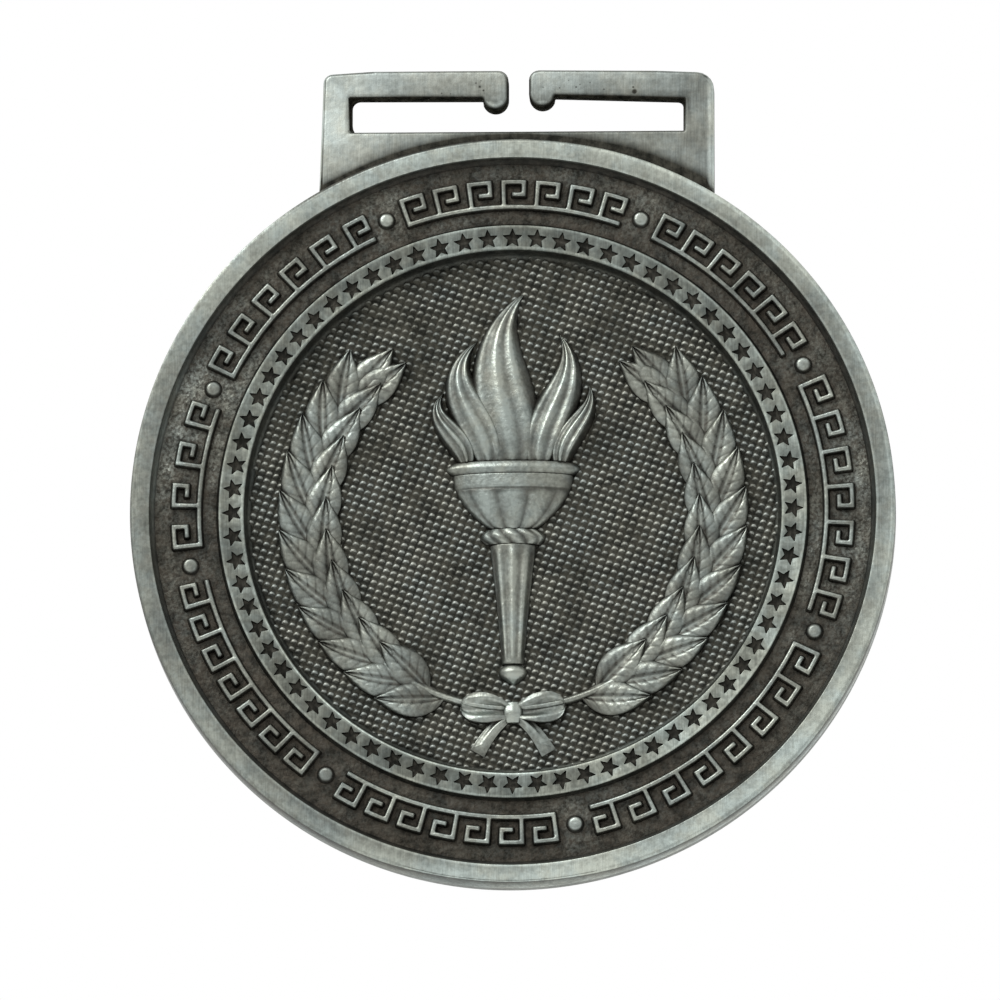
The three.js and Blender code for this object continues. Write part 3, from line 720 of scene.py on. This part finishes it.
for number in range(1, dot_count + 1):
    here, after = dot_places[number - 1], dot_places[number % dot_count]
    start = here + key_margin / key_circle
    length = ((after - here) % (2 * math.pi)) * key_circle - 2 * key_margin
    corners = key_corners(length)
    outline = split_long(round_corners([c[:2] for c in corners], [c[2] for c in corners]), 0.5)
    points, faces, wear_and_sheen = stacked(lambda inward, z: bent(inset(outline, inward), start), key_levels)
    wear_and_sheen = with_wear_and_sheen(points, wear_and_sheen, (0.66, ((135, 75, 0.17), (0, 22, 0.07), (182, 20, 0.07), (272, 16, 0.1))))
    add_relief(f"key_ornament_{number}", (points, faces, wear_and_sheen), f"key_run_{number}")


# Ribbon loop: a flat web on the disc, two posts and two arms that end in round hooks either side of
# a gap, where the neck ribbon is pushed in. One casting with the disc, brushed upright, drafted to
# the back, with its slot's corners sharp in front and round behind.
web_low, web_high = face_box("loop_web")
loop_left, loop_right = web_low[0], web_high[0]
slot_floor, loop_front = web_high[1:]
left_end, arm_top, _ = face_box("loop_left_arm")[1]
right_end, right_arm_bottom, _ = face_box("loop_right_arm")[0]
hook_low, hook_high = face_box("loop_left_hook")
hook_radius = (hook_high[0] - hook_low[0]) / 2
hook_centre = hook_low[1] + hook_radius
slot_left = face_box("loop_left_post")[1][0] - 0.18
slot_right = face_box("loop_right_post")[0][0] - 0.08
slot_top = hook_high[1]
arm_rise = 0.28
arm_droop = slot_top - right_arm_bottom - 0.06
left_hang, right_hang = -0.09, 0.13
foot_flare = 0.3
root = disc_radius - back_edge - 0.28
root_steps = 40


def loop_outline(depth):
    """The loop's outline, anticlockwise, at a share of its thickness behind the front."""
    taper = 0.12 * depth
    round_top = 0.06 + 0.4 * depth
    left_wall, right_wall = slot_left + 2.2 * taper, slot_right - taper
    corners, radii = [], []

    def corner(x, y, radius=0.0):
        corners.append((x, y))
        radii.append(radius)

    def hook(end, way, hang, start, stop):
        for turn in np.radians(np.linspace(start, stop, 16)):
            across = end + hook_radius * (math.cos(turn) + way)
            corner(across, hook_centre + hang + hook_radius * math.sin(turn))

    left_turn, right_turn = math.asin((loop_left - foot_flare) / root), math.asin(loop_right / root)
    for k in range(root_steps + 1):
        turn = left_turn + (right_turn - left_turn) * k / root_steps
        corner(root * math.sin(turn), root * math.cos(turn))
    corner(loop_right, arm_top - arm_rise - 0.06, 1.4)
    corner(loop_right - 4.5, arm_top - 0.14, 40)
    corner(right_end, arm_top, 0.8)
    hook(right_end, 1, right_hang, 180, 336)
    corner(right_end + 2 * hook_radius - 0.04, slot_top + taper + 0.08, 0.1)
    corner(right_wall, slot_top - arm_droop + taper, round_top)
    corner(right_wall, slot_floor - 0.04, 0.05 + 0.3 * depth)
    corner(left_wall, slot_floor + 0.05, 0.05 + 0.95 * depth)
    corner(left_wall, slot_top + 0.05 + 0.6 * taper, round_top + 0.2 * depth)
    corner(left_end - 2 * hook_radius + 0.04, slot_top - 0.07 + 0.9 * taper, 0.1)
    hook(left_end, -1, left_hang, 204, 360)
    corner(left_end, arm_top - 0.03, 0.8)
    corner(loop_left + 4, arm_top, 10)
    corner(loop_left + 0.08, arm_top - arm_rise + 0.05, 0.75)
    corner(loop_left, arm_top - 3, 8)
    return round_corners(corners, radii, 5)


loop_levels = [(0.36, 0.0, 0.55), (0.28, 0.0, 0.55), (0.12, 0.07, 0.6), (0.03, 0.2, 0.45), (0, 0.4, 0.12),
               (0.0, loop_front - 0.3, 0.1), (0.04, loop_front - 0.17, 0.1), (0.12, loop_front - 0.07, 0.12),
               (0.2, loop_front - 0.015, 0.3), (0.26, loop_front, 0.5), (0.34, loop_front, 0.5),
               (0.6, loop_front, 0.5)]
# Lighter at the left post, darker on the upper arms and towards the right.
loop_tone_patches = ((loop_left, 33, 7, 0.36), (loop_left, 29, 9, 0.16), (-7, 36, 6, -0.1), (6.5, 36, 7, -0.09),
               (loop_right, 30, 14, -0.2), (9, 29.6, 5, -0.05))
loop_pits = (
    (-2.6, 34.5, 0.16, -0.5), (-2.9, 34.8, 0.12, -0.45), (-2.3, 34.2, 0.13, -0.45), (-2.5, 35.0, 0.1, -0.4),
    (-5.6, 34.0, 0.1, -0.35), (-4.9, 33.95, 0.08, -0.3), (9.6, 34.0, 0.28, -0.6), (9.5, 34.35, 0.14, -0.4),
    (2.4, 34.4, 0.1, -0.35), (3.7, 34.35, 0.1, -0.4), (4.4, 34.95, 0.09, -0.35), (5.0, 34.4, 0.12, -0.4),
    (5.3, 34.6, 0.08, -0.4), (6.1, 34.75, 0.1, -0.3), (7.2, 34.2, 0.09, -0.35),
)
# The rings next to the disc are a painted shadow of the rim on the web.
loop_finish_and_rim_shadow = antique_finish("brushed_loop", bright=(0.62, 0.67, 0.62), dark=(0.035, 0.036, 0.030),
                             streak_depth=0.008, gloss=0.33, mottle=0.2, speckle=0.15, speckle_scale=2600.0,
                             crevice_soot_and_shade=0.85, patches=loop_tone_patches + loop_pits, edge_tint=0.25,
                             rings=((disc_radius - 0.1, 1.9, -0.62), (disc_radius + 0.2, 0.6, -0.3)))
loop_points, loop_faces, loop_wear_and_highlight = stacked(
    lambda inward, z: inset(loop_outline(1 - z / loop_front), inward), loop_levels, base=True)
x, y, z = loop_points.T
far_left = x < -11
on_face, near_face = z > loop_front - 0.01, z > loop_front - 0.2
on_edge = near_face & ~on_face
on_arm = (y > slot_top - arm_droop - 0.1) & (x > slot_left - 0.4) & (x < slot_right + 0.4)
slot_lip = (x > slot_left - 0.4) & (x < slot_left - 0.08) & (y > slot_floor + 0.1) & (y < slot_top)
at_side = (x < loop_left + 0.06) | (x > loop_right - 0.06)
at_side |= (y > arm_top - 2) & ((x > loop_right - 1.5) | (x < loop_left + 0.8))
in_slot = (x > slot_left - 0.1) & (x < slot_right + 0.1) & (y > slot_floor + 0.2) & (y < slot_top + 0.3)
# Levels by place on the loop: the arms' face lighter towards the top, and set levels for the top edge, the
# slot's lip and foot, the left edge, the side walls and the black slot walls. Along the right edge the
# rounded bevel gets a painted highlight that brightens outwards.
for spot, level in (
    (on_face & on_arm, 0.52 + 0.19 * (y - slot_top - 0.95)),
    (on_edge & (y > arm_top - 0.6), np.where(far_left, 0.2, 0.5)),
    (near_face & slot_lip, 0.45),
    (on_edge & (x < loop_left + 0.3), 0.0),
    (near_face & (abs(y - slot_floor) < 0.25), 0.5),
    (near_face & (x > loop_right - 0.5), 0.75 + 1.1 * (x - loop_right + 0.5)),
    (at_side & (z > 0.1) & (z < loop_front - 0.1), 1.7),
    (in_slot & (z > 0.1) & (z < loop_front - 0.15), 0.03 - 0.43 * far_left),
):
    loop_wear_and_highlight = np.where(spot, level, loop_wear_and_highlight)
add_piece("ribbon_loop", loop_points, loop_faces, loop_wear_and_highlight, loop_finish_and_rim_shadow, "brushed_silver",
          ["loop_web", "loop_left_post", "loop_right_post", "loop_left_arm", "loop_right_arm",
           "loop_left_hook", "loop_right_hook"])


# Torch, cast in relief on the field: a ball finial, a fluted handle, a roped collar, a lobed bowl
# and a rolled lip. Its crowns are rubbed bright and its grooves stay black.
emblem_base = field_floor - 0.08
handle_foot = 0.9
bowl_foot = 1.7


def sculpted(path, half_width, surface, columns=25, draft=0.05, notch=0.0):
    """A closed relief along a path. surface gives its height and wear from u along and v across.
    notch is how deep the far end is cut to a swallowtail."""
    path = np.asarray(path, float)
    rows = len(path)
    along = np.gradient(path, axis=0)
    along /= np.linalg.norm(along, axis=1, keepdims=True)
    across = np.column_stack([along[:, 1], -along[:, 0]])
    u = np.linspace(0, 1, rows)[:, None]
    v = np.sin(np.linspace(-math.pi / 2, math.pi / 2, columns))[None, :]
    wide = np.maximum(np.asarray([half_width(share) for share in u.ravel()]), 0.004)
    height, wear_and_sheen = surface(u, v)
    height = np.broadcast_to(height, (rows, columns))
    wear_and_sheen = np.broadcast_to(wear_and_sheen, (rows, columns))
    points = []
    for row in range(rows):
        push = notch * max(0.0, row / (rows - 1) - 0.7) / 0.3
        level = path[row] + np.outer(v.ravel() * wide[row], across[row])
        level = level + np.outer(push * (np.abs(v.ravel()) - 0.6), along[row])
        points.append(np.column_stack([level, field_floor + height[row]]))
        for side in (1, -1):
            foot = path[row] + side * (wide[row] + draft) * across[row] + 0.4 * push * along[row]
            points.append([[*foot, emblem_base]])
    points = np.concatenate(points)
    wears = np.column_stack([wear_and_sheen, np.zeros((rows, 2))]).ravel()
    count = columns + 2
    faces = []
    for row in range(rows - 1):
        here, after = row * count, (row + 1) * count
        for k in range(count):
            j = (k + 1) % count
            faces.append([here + k, here + j, after + j, after + k])
    faces.append(list(range(count))[::-1])
    faces.append([(rows - 1) * count + k for k in range(count)])
    return points, faces, wears


def blend(low, high, share):
    return low + (high - low) * share


def dome(v):
    """How high a round section stands at a share of its half width."""
    return np.sqrt(1 - v ** 2)


def belly(u):
    """A swell in the middle of a length."""
    return np.sin(math.pi * u)


def add_torch_part(name, node, rows, half_width, surface, columns=61):
    """An upright part of the torch. half_width turns u and the solid's half width into that of the
    piece, and surface gives the height, as a share of the solid's, and the wear."""
    low, high = face_box(node)

    def raised(u, v):
        height, wear_and_sheen = surface(u, v)
        return (high[2] - low[2]) * height, wear_and_sheen

    line = [(0, y) for y in np.linspace(low[1], high[1], rows)]
    add_relief(name, sculpted(line, lambda u: half_width(u, high[0]), raised, columns), node)


def ball_swell(u):
    return np.sin(math.pi * 0.8 * u + 0.02)


def handle_surface(u, v):
    flute = np.cos(9 * np.arcsin(v)) * np.clip(belly(u) * 4, 0, 1)
    return blend(0.75, 1, u) * dome(v) * (0.93 + 0.09 * flute), 0.25 + 0.5 * dome(v) + 0.3 * flute


def collar_surface(u, v):
    rope = np.abs(np.sin(6 * np.arcsin(v) + 2.6 * u))
    return blend(0.82, 1, belly(u)) * dome(v) * (0.86 + 0.16 * rope), 0.15 + 0.95 * rope * dome(v)


def bowl_opening(u):
    return np.sin(math.pi / 2 * u) ** 0.8


def bowl_surface(u, v):
    lobes = np.abs(np.cos(5.5 * np.arcsin(v))) ** 0.7
    lower = np.clip((0.72 - u) / 0.08, 0, 1)
    band = np.clip((u - 0.74) / 0.03, 0, 1)
    cut = 1 - lower * 0.16 * (1 - lobes) - 0.1 * (1 - np.clip(np.abs(u - 0.74) / 0.03, 0, 1))
    height = blend(0.7, 1, bowl_opening(u)) * dome(v) * cut
    return height, 0.2 + dome(v) * (0.8 * lobes * lower + 0.7 * band)


def lip_surface(u, v):
    return blend(0.9, 1, belly(u)) * dome(v), (0.3 + 0.8 * dome(v)) * (0.4 + 0.6 * belly(u))


add_torch_part("torch_ball", "torch_finial", 24, lambda u, half: half * ball_swell(u),
               lambda u, v: (ball_swell(u) * dome(v), 0.35 + 0.7 * dome(v)), 25)
add_torch_part("torch_grip", "torch_handle", 60, lambda u, half: blend(handle_foot, half, u ** 1.2),
               handle_surface)
add_torch_part("torch_collar_rope", "torch_collar", 24, lambda u, half: half * blend(0.82, 1, belly(u)),
               collar_surface)
add_torch_part("torch_cup", "torch_bowl", 48, lambda u, half: blend(bowl_foot, half, bowl_opening(u)),
               bowl_surface, 81)
add_torch_part("torch_rolled_lip", "torch_lip", 20, lambda u, half: half * blend(0.9, 1, belly(u)),
               lip_surface)


# Flame: five tongues, cast with the torch, that lick up to pointed tips, with flow lines along them.
# Their rows hold the foot, swing, lean, tip, reach and girth. The reach is a share of the flame's
# length, the swing one of the tongue's, and the others are shares of the lip's half width.
flame_low, flame_high = face_box("torch_flame")
flame_length = flame_high[1] - flame_low[1]
flame_relief = 1.25
lip_half = face_box("torch_lip")[1][0]
tongues = [
    (-0.68, 0.4, -1.35, -1.02, 0.42, 0.21),
    (0.7, 0.4, 1.3, 1.12, 0.46, 0.21),
    (-0.36, 0.35, -1.2, -0.52, 0.72, 0.34),
    (0.38, 0.35, 1.15, 0.68, 0.76, 0.34),
    (0, 0.3, -0.55, 0.18, 1, 0.5),
]


def flame_swell(u):
    return np.sin(math.pi * np.clip(0.22 + 0.78 * u ** 0.85, 0, 1))


def flame_surface(u, v):
    flow = np.cos(3 * math.pi * v + 2.2 * u)
    height = np.sqrt(np.maximum(flame_swell(u), 0)) * (1 - np.abs(v) ** 2.4) ** 0.6 * (0.9 + 0.1 * flow)
    return flame_relief * height, 0.15 + 0.6 * (1 - v ** 2) + 0.35 * flow * (1 - v ** 2)


flame_parts = []
t = np.linspace(0, 1, 60)[:, None]
for foot, swing, lean, tip, reach_share, girth in tongues:
    tall = reach_share * flame_length
    knots = np.array([
        (foot * lip_half, flame_low[1]),
        (foot * lip_half, flame_low[1] + swing * tall),
        (lean * lip_half, flame_low[1] + (1 - swing) * tall),
        (tip * lip_half, flame_low[1] + tall),
    ])
    curve = (knots[0] * (1 - t) ** 3 + 3 * knots[1] * t * (1 - t) ** 2
             + 3 * knots[2] * t ** 2 * (1 - t) + knots[3] * t ** 3)
    flame_parts.append(sculpted(curve, lambda u: girth * lip_half * flame_swell(u), flame_surface, 41))
add_relief("flame", together(flame_parts), "torch_flame")


# Two laurel branches, cast on the field along a circle about the centre: a tapering stem with leaves
# in staggered pairs and one at the tip. Each leaf has a midrib and side veins.
laurel_radius = 15.7
laurel_start, laurel_end = 16, 126
stem_half, stem_rise = 0.36, 0.6
leaf_pairs = 11
leaf_length, leaf_half, leaf_rise = 5.6, 1.4, 0.8
leaf_splay = 25


def laurel_station(share, side):
    """A point on the branch and the direction it runs in there."""
    turn = math.radians(blend(laurel_start, laurel_end, share))
    at = np.array([side * laurel_radius * math.sin(turn), -laurel_radius * math.cos(turn)])
    return at, np.array([side * math.cos(turn), math.sin(turn)])


def leaf_surface(u, v):
    side = np.abs(v)
    rib = np.exp(-((side / 0.07) ** 2))
    groove = np.exp(-(((side - 0.17) / 0.08) ** 2))
    vein = np.clip(np.cos(2 * math.pi * (u * 7 - side * 1.3)) - 0.55, 0, 1)
    vein = vein * np.clip(side * 5, 0, 1) * (1 - side ** 3)
    swell = 0.55 + 0.45 * belly(side) ** 0.7
    climb = 0.42 + 0.58 * np.clip(u / 0.7, 0, 1) ** 0.8
    height = leaf_rise * climb * (swell + 0.12 * rib - 0.16 * groove - 0.16 * vein)
    wear_and_sheen = climb * (0.25 + 0.85 * (swell - 0.4)) + 0.45 * rib - 0.35 * groove - 0.7 * vein
    return height, np.clip(wear_and_sheen, 0.02, 1.2)


def leaf_width(u):
    return leaf_half * math.sin(math.pi * u ** 0.85) ** 0.95 if u < 1 else 0


def leaf(at, along, bend):
    s = np.linspace(0, 1, 50)[:, None]
    sideways = np.array([-along[1], along[0]])
    return sculpted(at + along * s * leaf_length + sideways * bend * s ** 2, leaf_width, leaf_surface, 31)


def turned_by(direction, degrees):
    c, s = math.cos(math.radians(degrees)), math.sin(math.radians(degrees))
    return np.array([direction[0] * c - direction[1] * s, direction[0] * s + direction[1] * c])


def stem_surface(u, v):
    return stem_rise * (1 - 0.4 * u) * dome(v), 0.3 + 0.6 * dome(v)


for side, hand in ((-1, "left"), (1, "right")):
    stem_line = [laurel_station(share, side)[0] for share in np.linspace(-0.13, 1, 70)]
    branch = [sculpted(stem_line, lambda u: stem_half * (1 - 0.4 * u), stem_surface, 11)]
    for i in range(leaf_pairs):
        for splay, stagger in ((-leaf_splay, 0), (leaf_splay, 0.5)):
            at, along = laurel_station((i + 0.35 + stagger) / leaf_pairs, side)
            branch.append(leaf(at, turned_by(along, splay * side), -side * math.copysign(0.45, splay)))
    at, along = laurel_station(1, side)
    branch.append(leaf(at - stem_half * along, along, 0.3 * side))
    add_relief(f"laurel_branch_{hand}", together(branch), f"laurel_{hand}")


# Bow that ties the branches: a knot, two loops with a sunk middle and two tails with creases.
# It is cast with them on the field, and its edges and its knot are rubbed bright.
bow_depth = laurel_radius + 0.4
bow_rise = 0.85
bow_loop_angle, bow_loop_length = 7, 4.15
bow_tail_angle, bow_tail_length = -48, 3.95
knot_half = 0.85


def strip_line(side, degrees, length, sag, steps=30):
    """A line out from the knot on one side, at an angle above the level, that sags to its left."""
    direction = np.array([side * math.cos(math.radians(degrees)), math.sin(math.radians(degrees))])
    sideways = np.array([-direction[1], direction[0]])
    s = np.linspace(0, 1, steps)[:, None]
    return np.array([0, -bow_depth]) + direction * s * length + sideways * sag * belly(s)


def bow_loop_width(u):
    opening = 0.35 + 0.85 * math.sin(math.pi / 2 * min(u / 0.6, 1))
    return opening * math.sqrt(max(0.0, 1 - max(0.0, (u - 0.6) / 0.4) ** 2.4))


def bow_loop_surface(u, v):
    edge = 0.55 + 0.45 * np.clip(np.abs(v) * 1.6, 0, 1) ** 2
    height = bow_rise * (0.75 + 0.25 * belly(u)) * (edge + 0.08 * np.cos(5 * v + 6 * u))
    return height, 0.15 + 0.9 * edge * np.clip(1.4 - np.abs(v), 0, 1) - 0.4 * (1 - u) * (1 - np.abs(v))


def tail_surface(u, v):
    fold = 0.85 + 0.15 * np.cos(math.pi * v * 1.5)
    return bow_rise * blend(0.8, 0.6, u) * fold * (1 - 0.3 * v ** 4), 0.35 + 0.6 * fold - 0.3 * np.abs(v)


def knot_surface(u, v):
    height = bow_rise * 1.15 * blend(0.7, 1, belly(u)) * dome(v) ** 0.7 * (0.95 + 0.05 * np.cos(9 * v))
    return height, 0.3 + 0.8 * dome(v)


bow_parts = []
for side in (-1, 1):
    loop_line = strip_line(side, bow_loop_angle, bow_loop_length, 0.1 * side)
    tail_line = strip_line(side, bow_tail_angle, bow_tail_length, 0.25 * side)
    bow_parts.append(sculpted(loop_line, bow_loop_width, bow_loop_surface, 31))
    bow_parts.append(sculpted(tail_line, lambda u: 0.38 + 0.24 * u, tail_surface, 21, notch=0.75))
knot_line = [(0, y) for y in np.linspace(-bow_depth - knot_half, -bow_depth + knot_half, 20)]
bow_parts.append(sculpted(knot_line, lambda u: knot_half * blend(0.7, 1, belly(u)), knot_surface, 15))
add_relief("bow", together(bow_parts), "laurel_bow")


# Studio: a pale floor well below the hanging medal, white surroundings behind it, a soft grey room
# in front with a large soft box from the upper left, and a long lens aimed from slightly below.
view_azimuth, view_elevation = math.radians(2.2), math.radians(-13.6)
view_distance = 1.4
view_width = 0.0783
frame_pixels = 1000
disc_pixel = (512.3, 509.0)
away = Vector((
    math.cos(view_elevation) * math.sin(view_azimuth),
    -math.cos(view_elevation) * math.cos(view_azimuth),
    math.sin(view_elevation),
))
view_turn = away.to_track_quat("Z", "Y")
rim_centre = Vector((0, back_y - rim_top * MM, centre_z))
per_pixel = view_width / frame_pixels
aim = rim_centre - view_turn @ Vector((1, 0, 0)) * (disc_pixel[0] - frame_pixels / 2) * per_pixel
aim = aim + view_turn @ Vector((0, 1, 0)) * (disc_pixel[1] - frame_pixels / 2) * per_pixel
lens = bpy.data.cameras.new("long_lens")
lens.sensor_width = 36
lens.lens = lens.sensor_width * view_distance / view_width
lens.clip_start = 0.05
lens.clip_end = 20
camera = linked("camera", lens)
camera.location = aim + away * view_distance
camera.rotation_mode = "QUATERNION"
camera.rotation_quaternion = view_turn
scene.camera = camera

floor_size, floor_level = 3.0, -0.46
floor_ways = ((-1, -1), (1, -1), (1, 1), (-1, 1))
floor_corners = [(x * floor_size, y * floor_size, floor_level) for x, y in floor_ways]
floor_mesh = bpy.data.meshes.new("floor")
floor_mesh.from_pydata(floor_corners, [], [[0, 1, 2, 3]])
floor_paint = bpy.data.materials.new("pale_floor")
floor_paint.use_nodes = True
paint = floor_paint.node_tree.nodes["Principled BSDF"]
paint.inputs["Base Color"].default_value = (0.8, 0.8, 0.8, 1)
paint.inputs["Roughness"].default_value = 0.9
floor_mesh.materials.append(floor_paint)
floor = linked("floor", floor_mesh)

world = bpy.data.worlds.new("studio")
world.use_nodes = True
scene.world = world
nodes, links = world.node_tree.nodes, world.node_tree.links
where = nodes.new("ShaderNodeTexCoord")
part = nodes.new("ShaderNodeSeparateXYZ")
links.new(where.outputs["Generated"], part.inputs[0])
room = smooth_step(world.node_tree, part.outputs["Z"], -0.45, 0.45, 0.14, 1.02)
sides = smooth_step(world.node_tree, part.outputs["X"], -0.9, 0.9, 1.15, 0.8)
behind = smooth_step(world.node_tree, part.outputs["Y"], -0.15, 0.2)
front_room = nodes.new("ShaderNodeMath")
front_room.operation = "MULTIPLY"
links.new(room, front_room.inputs[0])
links.new(sides, front_room.inputs[1])
level = nodes.new("ShaderNodeMix")
links.new(behind, level.inputs["Factor"])
links.new(front_room.outputs[0], level.inputs["A"])
level.inputs["B"].default_value = 1.0
links.new(level.outputs["Result"], nodes["Background"].inputs["Color"])
nodes["Background"].inputs["Strength"].default_value = 1.0

soft_box = bpy.data.lights.new("soft_box", "AREA")
soft_box.shape = "RECTANGLE"
soft_box.size, soft_box.size_y = 0.7, 0.5
soft_box.energy = 6
key_light = linked("soft_box", soft_box)
key_light.location = rim_centre + Vector((-0.55, -0.75, 0.75))
key_light.rotation_mode = "QUATERNION"
key_light.rotation_quaternion = (key_light.location - rim_centre).to_track_quat("Z", "Y")

scene.view_settings.view_transform = "Standard"
bpy.context.view_layer.update()
